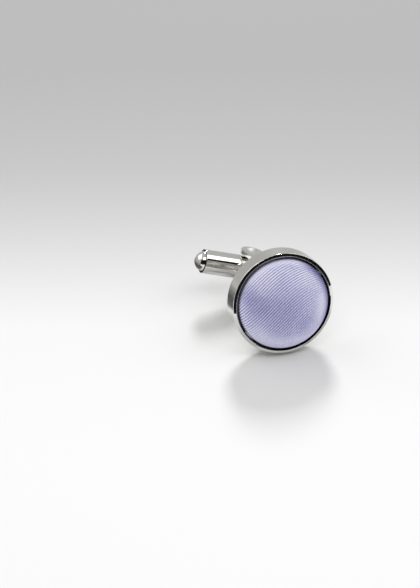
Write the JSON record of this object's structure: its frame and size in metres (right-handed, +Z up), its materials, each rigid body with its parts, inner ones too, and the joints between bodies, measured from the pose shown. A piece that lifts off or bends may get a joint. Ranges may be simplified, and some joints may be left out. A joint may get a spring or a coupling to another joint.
{
  "type": "cufflink",
  "caption": "Round metal cup cufflink with a domed satin-covered face and a bullet toggle that swivels on a two-armed post to lock through a shirt cuff.",
  "frame": {"origin": "centre of the cup's flat back face, where the cuff lies, on the axis of the post", "axes": "+Y from the face through the post towards the toggle, +X along the locked toggle, +Z up along the pivot pin"},
  "size_m": [0.019, 0.0236, 0.017],
  "materials": {
    "cup_metal": "rhodium-coloured plating, polished bevelled lip and finely brushed side wall",
    "satin": "lavender twill satin with a soft sheen",
    "shell_metal": "plain pressed sheet",
    "plate_metal": "plain pressed sheet",
    "glue": "hardened epoxy",
    "post_metal": "polished plating",
    "rivet_metal": "polished plating",
    "pin_metal": "turned steel with peened ends",
    "toggle_metal": "mirror-polished plating",
    "cap_metal": "mirror-polished plating",
    "plunger_metal": "turned brass",
    "spring_steel": "drawn spring wire"
  },
  "bodies": {
    "face": {"bezel_cup": "cup_metal", "satin_cover": "satin", "button_shell": "shell_metal", "button_back_plate": "plate_metal", "adhesive_ring": "glue", "stirrup": "post_metal", "base_rivet": "rivet_metal", "pivot_pin": "pin_metal"},
    "toggle": {"toggle_barrel": "toggle_metal", "end_cap_left": "cap_metal", "end_cap_right": "cap_metal", "plunger_left": "plunger_metal", "plunger_right": "plunger_metal", "spring_left": "spring_steel", "spring_right": "spring_steel"}
  },
  "joints": [
    {"name": "toggle_swivel", "type": "hinge", "parent": "face", "child": "toggle", "pos_m": [0, 0.0156, 0], "axis": [0, 0, 1], "continuous": true}
  ]
}
